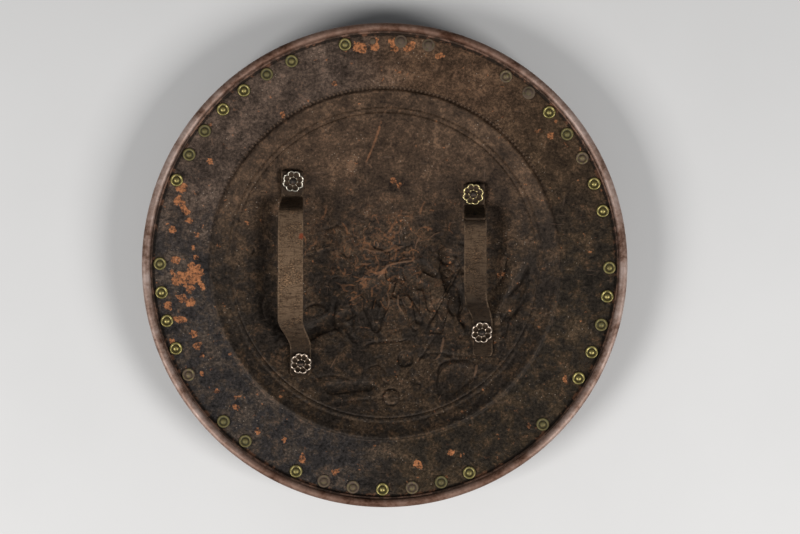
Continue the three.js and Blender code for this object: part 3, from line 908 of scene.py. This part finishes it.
# ---- finishes -------------------------------------------------------------------------------------

# Colours are linear red, green and blue. Places and sizes are in millimetres.
BEADS = 264  # round the whole moulding
BEAD_ROW = 209.4  # radius that the beads stand on
SLOT = (106.5, 58.7)  # in the hand strap's folded end
SLOT_HALF = 1.9
RED_STAIN = (-97, 31)  # on the arm strap
STRAP_SPAN = 280  # from below the lower ends of the straps to above the upper ones


def tinted(sheet, share, colour, tint):
    """Multiplies a colour by a tint, by a share."""
    return sheet.mix(share, colour, sheet.mix(1.0, colour, tint, "MULTIPLY"))


def shades(colour, *stops):
    """Ramp stops of one colour, each as (value, how bright)."""
    return [(at, [bright * part for part in colour]) for at, bright in stops]


def patinated_iron(settings):
    sheet = Sheet("patinated iron")
    x, y = sheet.flat_axes()
    radius, hollow = sheet.measure("radius"), sheet.measure("hollow")
    crease, ridge, patches = sheet.measure("crease"), sheet.measure("ridge"), sheet.measure("rust")
    scuff = sheet.measure("scuff")

    cloud = sheet.noise(46, 4, 0.6)
    mottle = sheet.noise(13, 5, 0.68, seed=3)
    grain = sheet.noise(3.2, 4, 0.75, seed=4)
    drawn = sheet.noise(9, 3, 0.6, seed=5, vector=sheet.stretched((0.28, 2.4, 1), 0.9))
    crossed = sheet.noise(9, 3, 0.6, seed=6, vector=sheet.stretched((2.4, 0.28, 1), 0.5))
    border = sheet.step(radius, 202, 212)

    # The patina: mottled dark brown, slate on the left of the border, darker and olive on the right;
    # painted light makes the plate lighter and redder above and the border lighter towards its upper left.
    depth = 0.24 * cloud + 0.32 * mottle + 0.44 * grain
    colour = sheet.ramp(
        depth, *shades(settings.iron, (0.37, 0.18), (0.45, 0.58), (0.51, 1.0), (0.57, 1.8), (0.64, 3.8))
    )
    slate = border * sheet.step(60 * cloud - x, -10, 90)
    olive = border * sheet.step(x + 50 * cloud - 0.4 * y, 50, 170)
    painted_light_above = sheet.step(y + 90 * cloud, 20, 190)
    blue = sheet.step(mottle + 0.5 * cloud, 0.80, 0.70) * (1 - painted_light_above)
    colour = tinted(sheet, slate * 0.75, colour, (0.80, 1.02, 1.40))
    colour = tinted(sheet, blue * 0.5, colour, (0.70, 0.92, 1.30))
    colour = tinted(sheet, olive * 0.8, colour, (0.66, 0.70, 0.66))
    # Painted light: the plate is lighter and slightly redder towards the top.
    colour = tinted(sheet, painted_light_above * 0.9, colour, (1.42, 1.30, 1.25))
    # The border is lightened all round, and most towards its upper left as painted light.
    border_tone_and_painted_light = border * (0.35 + 0.65 * sheet.step(y - 0.6 * x + 60 * (mottle - 0.5), -100, 300))
    colour = tinted(sheet, border_tone_and_painted_light, colour, (1.58, 1.50, 1.44))

    # Fine scratches, dirt in the hollows, and the figures' dark outlines and rubbed ridges.
    scratches = sheet.step(drawn, 0.66, 0.72).highest(sheet.step(crossed, 0.67, 0.73))
    colour = sheet.layered(
        colour,
        (scratches * 0.4, (0.115, 0.075, 0.052)),
        (sheet.step(hollow + 0.9 * mottle, 0.8, 1.6) * 0.25, (0.020, 0.016, 0.013)),
        (sheet.step(crease + 0.5 * mottle, 0.45, 1.05) * 0.8, (0.009, 0.006, 0.004)),
        (sheet.step(ridge + 0.8 * (grain - 0.5), 0.35, 0.85) * 0.7, (0.155, 0.090, 0.055)),
    )
    # A net of rusty scuffs between the figures, and warm rubbed specks all over.
    net = abs(sheet.noise(26, 5, 0.72, seed=8) - 0.5)
    middle_reach = ((x + 4) ** 2 + (y - 12) ** 2) ** 0.5
    near_middle = sheet.step(cloud + 0.22 - 0.0036 * middle_reach, 0.36, 0.58)
    scuffed = (1 - sheet.step(net, 0.003, 0.022)) * (1 - border) * near_middle * 0.5
    scuffed = scuffed.highest(sheet.step(scuff + 0.9 * (grain - 0.5) + 0.6 * (mottle - 0.5), 0.30, 0.85))
    scuff_tone = sheet.mix(sheet.step(mottle, 0.4, 0.6), (0.090, 0.046, 0.025), (0.20, 0.090, 0.043))
    colour = sheet.layered(
        colour,
        (scuffed * 0.75, scuff_tone),
        (sheet.step(0.5 * mottle + 0.5 * grain, 0.565, 0.62) * 0.5, (0.125, 0.062, 0.034)),
    )
    # Patches and flecks of orange rust, and pale specks, partly bare metal and partly painted glints.
    flecks = sheet.noise(8, 3, 0.6, seed=12)
    ragged = (mottle - 0.5) * 1.6 + (flecks - 0.5) * 1.2
    rust = sheet.step(patches + ragged * sheet.step(patches, 0.0, 0.2), 0.40, 0.48)
    strewn = sheet.step(cloud + border * 0.05, 0.46, 0.60)
    rust = rust.highest(sheet.step(flecks, 0.66, 0.70) * strewn * 0.85)
    fine = grain * 0.6 + mottle * 0.4
    tone = sheet.ramp(fine, *shades(settings.rust, (0.42, 0.42), (0.50, 1.0), (0.60, 1.7)))
    colour = sheet.mix(rust * (0.3 + 0.6 * sheet.step(fine, 0.43, 0.53)), colour, tone)
    # Pale specks: partly bare metal, partly painted glints.
    speck_and_glint = (1 - sheet.step(sheet.cells(5.5, seed=3), 0.07, 0.14)) * sheet.step(cloud, 0.50, 0.58)
    colour = sheet.mix(speck_and_glint * 0.7, colour, (0.34, 0.27, 0.21))

    # A row of small beads stands along the upper part of the moulding, their tops lighter; the dark band
    # along the row is painted shade at the foot of the moulding's outer drop.
    beads = sheet.step((y.math("ARCTAN2", y, x) * BEADS).sine(), -0.3, 0.7)
    bead_row_and_shade = sheet.step(abs(radius - BEAD_ROW), 1.9, 1.1)
    bead_row_and_shade = bead_row_and_shade * sheet.step(y + 120 * (cloud - 0.5), 60, 170)
    beads = beads * bead_row_and_shade
    colour = sheet.layered(
        colour,
        # Painted shade at the foot of the moulding's outer drop, on its upper part.
        (bead_row_and_shade * 0.45, (0.018, 0.012, 0.008)),
        (beads * 0.6, (0.135, 0.085, 0.055)),
    )

    # The rolled rim is rubbed to a pinkish grey, with painted light keeping it paler at the left and right
    # and darker at the top and bottom; its turned-in lip is dark and pitted.
    rim = sheet.step(radius, 274.6, 275.6)
    lip = sheet.step(radius, 272.2, 273.2) * (1 - rim)
    seam = sheet.step(radius, 269.0, 271.2) * (1 - sheet.step(radius, 272.6, 273.4))
    rubbed_and_side_lit = sheet.ramp(
        0.45 * cloud + 0.35 * mottle + 0.2 * grain,
        (0.40, (0.10, 0.052, 0.034)),
        (0.47, (0.24, 0.155, 0.120)),
        (0.60, (0.42, 0.320, 0.278)),
    )
    # Painted light: the rim is darkened at the top and bottom and left pale at the left and right, where
    # the side lights catch it.
    rubbed_and_side_lit = tinted(sheet, 1 - sheet.step(abs(x), 110, 275), rubbed_and_side_lit, (0.56, 0.46, 0.40))
    pitted = sheet.mix(sheet.step(mottle, 0.42, 0.58), (0.045, 0.028, 0.020), (0.17, 0.095, 0.066))
    dirty = sheet.mix(sheet.step(mottle, 0.52, 0.60), (0.010, 0.007, 0.005), (0.11, 0.048, 0.026))
    colour = sheet.layered(colour, (rim, rubbed_and_side_lit), (lip * 0.9, pitted), (seam * 0.85, dirty))

    roughness = 0.5 + 0.5 * (grain - 0.5) + 0.3 * rust + 0.05 * rim
    relief = 0.40 * mottle + 0.60 * grain - 0.08 * scratches + 0.5 * beads
    normal = sheet.bump(relief, 1.3 * (1 - 0.7 * rim))
    metallic = 0.4 + 0.1 * rim - 0.35 * rust
    return sheet.surface(colour, roughness, metallic, normal, Specular_IOR_Level=0.12)


def old_brass(settings):
    sheet = Sheet("old brass")
    recess, tarnish, rusty = sheet.measure("recess"), sheet.measure("tarnish"), sheet.measure("rusty")
    stain = sheet.noise(3.5, 4, 0.65)
    grain = sheet.noise(0.8, 3, 0.7, seed=2)
    spoiled = sheet.step(tarnish + 1.2 * (stain - 0.5), 0.2, 0.9)
    colour = sheet.mix(spoiled, settings.brass, [0.4 * part for part in settings.brass])
    colour = sheet.layered(
        colour,
        (sheet.step(recess + 1.0 * (stain - 0.5), 0.35, 0.8) * 0.85, (0.026, 0.024, 0.012)),
        (sheet.step(stain, 0.60, 0.68) * 0.6, (0.10, 0.125, 0.075)),
        (sheet.step(stain, 0.47, 0.38) * 0.6, (0.045, 0.030, 0.018)),
        (rusty * sheet.step(stain, 0.34, 0.52) * 0.85, (0.085, 0.052, 0.038)),
    )
    roughness = 0.42 + 0.25 * spoiled + 0.2 * rusty
    metallic = 0.8 - 0.35 * spoiled - 0.35 * rusty
    return sheet.surface(colour, roughness, metallic, sheet.bump(0.6 * stain + 0.4 * grain, 0.35))


def rosette_bronze(settings):
    sheet = Sheet("rosette bronze")
    x, y = sheet.flat_axes()
    edge, cup = sheet.measure("edge"), sheet.measure("cup")
    stain = sheet.noise(3, 4, 0.65)
    upper = sheet.step(y, 0, 20)
    golden = sheet.step(x, 0, 20) * upper
    silvery = sheet.step(x, 0, -20) * upper
    bright = sheet.layered(
        (0.62, 0.50, 0.40),
        (golden, (0.66, 0.54, 0.26)),
        (silvery, (0.58, 0.53, 0.44)),
    )
    dull = sheet.mix(sheet.step(stain, 0.4, 0.6), (0.085, 0.052, 0.030), (0.20, 0.135, 0.080))
    colour = sheet.mix(sheet.step(edge + 0.7 * (stain - 0.5), 0.30, 0.70), dull, bright)
    cupped = sheet.step(cup + 0.4 * (stain - 0.5), 0.15, 0.55)
    colour = sheet.mix(cupped * 0.85, colour, (0.022, 0.014, 0.009))
    roughness = 0.42 - 0.14 * edge + 0.25 * cup
    return sheet.surface(colour, roughness, 0.85, sheet.bump(stain, 0.3))


def rivet_iron(settings):
    sheet = Sheet("rivet iron")
    stain = sheet.noise(2.4, 4, 0.7)
    colour = sheet.ramp(
        stain,
        (0.38, (0.010, 0.008, 0.007)),
        (0.52, (0.030, 0.023, 0.018)),
        (0.68, (0.12, 0.07, 0.045)),
    )
    return sheet.surface(colour, 0.48, 0.6, sheet.bump(stain, 0.9))


def worn_leather(settings):
    sheet = Sheet("worn leather")
    x, y = sheet.flat_axes()
    across = abs(sheet.measure("across"))
    blotch = sheet.noise(16, 4, 0.6)
    grain = sheet.noise(2.2, 4, 0.7, seed=2)
    place = (y + 10 * (blotch - 0.5)) / STRAP_SPAN + 0.5
    # Along each strap, from the lower end to the upper one: darker at the ends, as darker leather and as
    # painted shade on the steep bends and beside the rivets; rubbed paler between.
    arm = shades(settings.leather, (0.03, 0.17), (0.14, 0.2), (0.22, 0.36), (0.29, 0.82), (0.42, 1.05))
    arm += shades(settings.leather, (0.6, 0.9), (0.69, 0.7), (0.76, 0.52), (0.8, 0.25), (0.92, 0.21))
    hand = shades(settings.leather, (0.1, 0.27), (0.24, 0.17), (0.33, 0.13), (0.37, 0.36), (0.5, 0.52))
    hand += shades(settings.leather, (0.545, 0.68), (0.64, 0.66), (0.665, 0.24), (0.74, 0.2), (0.86, 0.25))
    arm, hand = sheet.ramp(place, *arm), sheet.ramp(place, *hand)
    colour = sheet.mix(sheet.step(x, -10, 10), arm, hand)
    # Worn to paler fibre along the edges and in streaks, with dirt in the cracks.
    streaks = sheet.noise(7, 4, 0.65, seed=4, vector=sheet.stretched((3.2, 0.5, 1)))
    cracks = sheet.cells(3.4, "DISTANCE_TO_EDGE", vector=sheet.stretched((1.0, 1.9, 1)))
    cracked = (1 - sheet.step(cracks, 0.01, 0.10)) * sheet.step(blotch + 0.3 * grain, 0.55, 0.72)
    wrinkles = sheet.noise(5, 4, 0.7, seed=7, vector=sheet.stretched((0.4, 2.6, 1), 0.12))
    worn = sheet.step(across + 0.35 * (grain - 0.5), 0.84, 0.98)
    colour = tinted(sheet, sheet.step(wrinkles, 0.52, 0.38) * 0.85, colour, (0.42, 0.38, 0.35))
    dark = sheet.step(0.5 * grain + 0.5 * streaks, 0.49, 0.38)
    pale = sheet.step(0.5 * grain + 0.5 * blotch, 0.50, 0.62)
    colour = tinted(sheet, dark * 0.8, colour, (0.45, 0.42, 0.40))
    colour = tinted(sheet, pale * 0.8, colour, (1.7, 1.55, 1.4))
    colour = sheet.layered(
        colour,
        (cracked * 0.75, (0.018, 0.012, 0.008)),
        (worn * sheet.step(blotch, 0.40, 0.62) * 0.55, (0.22, 0.145, 0.09)),
    )
    stain_reach = ((x - RED_STAIN[0]) ** 2 + (y - RED_STAIN[1]) ** 2) ** 0.5
    stain = 1 - sheet.step(stain_reach + 8 * (grain - 0.5), 2.0, 4.5)
    colour = sheet.mix(stain * 0.8, colour, (0.19, 0.035, 0.012))
    # The slot is not cut: it is painted near black as the shade inside a hole, and dented in the bump.
    slot = sheet.step(abs(x - SLOT[0]).highest(abs(y - SLOT[1])), SLOT_HALF + 0.3, SLOT_HALF - 0.3)
    colour = sheet.mix(slot * 0.95, colour, (0.004, 0.003, 0.002))
    roughness = 0.66 + 0.3 * (grain - 0.5) - 0.1 * worn
    height = 0.4 * grain + 0.2 * streaks + 0.5 * wrinkles - 0.35 * cracked - slot
    return sheet.surface(colour, roughness, 0.0, sheet.bump(height, 1.2), Specular_IOR_Level=0.12)


# ---- add-on ---------------------------------------------------------------------------------------


class ShieldSettings(bpy.types.PropertyGroup):
    """Sizes and finishes that a user would change."""

    relief: bpy.props.FloatProperty(
        name="Embossing depth",
        description="How deep the boldest forms of the battle scene are sunk",
        default=3 * MM,
        min=0,
        max=5 * MM,
        unit="LENGTH",
    )
    iron: bpy.props.FloatVectorProperty(
        name="Iron",
        description="Colour of the dark patina on the plate",
        default=(0.043, 0.028, 0.0175),
        size=3,
        subtype="COLOR",
    )
    rust: bpy.props.FloatVectorProperty(
        name="Rust",
        description="Colour of the rust patches on the plate",
        default=(0.27, 0.105, 0.043),
        size=3,
        subtype="COLOR",
    )
    brass: bpy.props.FloatVectorProperty(
        name="Brass",
        description="Colour of the cleaner washers round the rim",
        default=(0.29, 0.24, 0.085),
        size=3,
        subtype="COLOR",
    )
    leather: bpy.props.FloatVectorProperty(
        name="Leather",
        description="Colour of the straps where they are rubbed",
        default=(0.155, 0.098, 0.058),
        size=3,
        subtype="COLOR",
    )
    light: bpy.props.FloatProperty(
        name="Light",
        description="Power of each softbox over the stage",
        default=65,
        min=0,
        unit="POWER",
    )


class SHIELD_OT_plate(bpy.types.Operator):
    """Forge the dished plate with its moulding, rolled rim and embossed scene"""

    bl_idname = "shield.plate"
    bl_label = "Forged plate"

    def execute(self, context):
        plate = forge_plate(context.scene.shield)
        finish(plate, patinated_iron(context.scene.shield), "iron_plate", "shield_plate")
        return {"FINISHED"}


class SHIELD_OT_rim_rivets(bpy.types.Operator):
    """Set the brass washers and rivets round the rim"""

    bl_idname = "shield.rim_rivets"
    bl_label = "Rim rivets"

    def execute(self, context):
        brass = old_brass(context.scene.shield)
        for station, piece in rim_rivets(context.scene.shield).items():
            finish(piece, brass, "washer_brass", f"rim_rivet_{station:02d}")
        return {"FINISHED"}


class SHIELD_OT_straps(bpy.types.Operator):
    """Lay the arm strap and the hand strap across the back"""

    bl_idname = "shield.straps"
    bl_label = "Leather straps"

    def execute(self, context):
        leather = worn_leather(context.scene.shield)
        for strap in STRAPS.values():
            finish(leather_strap(strap), leather, "strap_leather", f"{strap.name}_strap")
        return {"FINISHED"}


class SHIELD_OT_strap_fittings(bpy.types.Operator):
    """Rivet the straps down through their flower washers"""

    bl_idname = "shield.strap_fittings"
    bl_label = "Rosettes and strap rivets"

    def execute(self, context):
        bronze = rosette_bronze(context.scene.shield)
        iron = rivet_iron(context.scene.shield)
        for strap in STRAPS.values():
            for end, layers in (("upper", 2), ("lower", 1)):
                flower, rivet = strap_fittings(strap, end, layers)
                finish(flower, bronze, "rosette_brass", f"{strap.name}_rosette_{end}")
                finish(rivet, iron, "rivet_iron", f"{strap.name}_rivet_{end}")
        return {"FINISHED"}


class SHIELD_OT_stage(bpy.types.Operator):
    """Set up the pale floor, the soft lights and the camera"""

    bl_idname = "shield.stage"
    bl_label = "Stage"

    def execute(self, context):
        studio(context.scene, context.scene.shield)
        return {"FINISHED"}


SOFTBOX_SIZE = 1.1
SOFTBOX_PLACE = (1.9, -1.2, 1.8)
AIR_COLOUR = (0.9, 0.95, 1, 1)
AIR_STRENGTH = 0.12
FLOOR_SIZE = 8
PAPER = ((0.62, 0.61, 0.60), (0.68, 0.67, 0.66))
CAMERA_LENS = 91.7
CAMERA_SENSOR = 36
CAMERA_AIM = (0.018, -0.004, 0.04)
CAMERA_DISTANCE = 2.4
CAMERA_ELEVATION = math.radians(86)


def softbox(name, side, power):
    """A square soft light aimed at the origin, on the right (1) or the left (-1)."""
    data = bpy.data.lights.new(name, "AREA")
    data.size = SOFTBOX_SIZE
    data.energy = power
    lamp = bpy.data.objects.new(name, data)
    bpy.context.scene.collection.objects.link(lamp)
    lamp.location = (side * SOFTBOX_PLACE[0], *SOFTBOX_PLACE[1:])
    lamp.rotation_euler = (-lamp.location).to_track_quat("-Z", "Y").to_euler()


def studio(scene, settings):
    pick_nothing()
    bpy.ops.mesh.primitive_plane_add(size=FLOOR_SIZE)
    floor = named("studio_floor")
    paper = Sheet("pale paper")
    tone = paper.mix(paper.noise(300), *PAPER)
    grain = paper.bump(paper.noise(2), 0.05)
    floor.data.materials.append(paper.surface(tone, 0.9, 0.0, grain))
    softbox("left softbox", -1, settings.light)
    softbox("right softbox", 1, settings.light)
    world = bpy.data.worlds.new("studio air")
    world.use_nodes = True
    background = world.node_tree.nodes["Background"]
    background.inputs["Color"].default_value = AIR_COLOUR
    background.inputs["Strength"].default_value = AIR_STRENGTH
    scene.world = world
    scene.view_settings.view_transform = "Standard"
    camera = bpy.data.cameras.new("camera")
    camera.sensor_width = CAMERA_SENSOR
    camera.lens = CAMERA_LENS
    view = bpy.data.objects.new("camera", camera)
    scene.collection.objects.link(view)
    away = Vector((0, -math.cos(CAMERA_ELEVATION), math.sin(CAMERA_ELEVATION)))
    view.location = Vector(CAMERA_AIM) + CAMERA_DISTANCE * away
    view.rotation_euler = (math.pi / 2 - CAMERA_ELEVATION, 0, 0)
    scene.camera = view


OPERATORS = (
    SHIELD_OT_stage,
    SHIELD_OT_plate,
    SHIELD_OT_rim_rivets,
    SHIELD_OT_straps,
    SHIELD_OT_strap_fittings,
)


class SHIELD_PT_panel(bpy.types.Panel):
    """Lists the shield's settings and the steps that build it"""

    bl_label = "Round iron shield"
    bl_space_type = "VIEW_3D"
    bl_region_type = "UI"
    bl_category = "Shield"

    def draw(self, context):
        for name in ShieldSettings.__annotations__:
            self.layout.prop(context.scene.shield, name)
        for operator in OPERATORS:
            self.layout.operator(operator.bl_idname)


CLASSES = (ShieldSettings, *OPERATORS, SHIELD_PT_panel)


def register():
    for item in CLASSES:
        bpy.utils.register_class(item)
    bpy.types.Scene.shield = bpy.props.PointerProperty(type=ShieldSettings)


def unregister():
    del bpy.types.Scene.shield
    for item in reversed(CLASSES):
        bpy.utils.unregister_class(item)


def main():
    register()
    for operator in OPERATORS:
        group, step = operator.bl_idname.split(".")
        getattr(getattr(bpy.ops, group), step)()


if __name__ == "__main__":
    main()
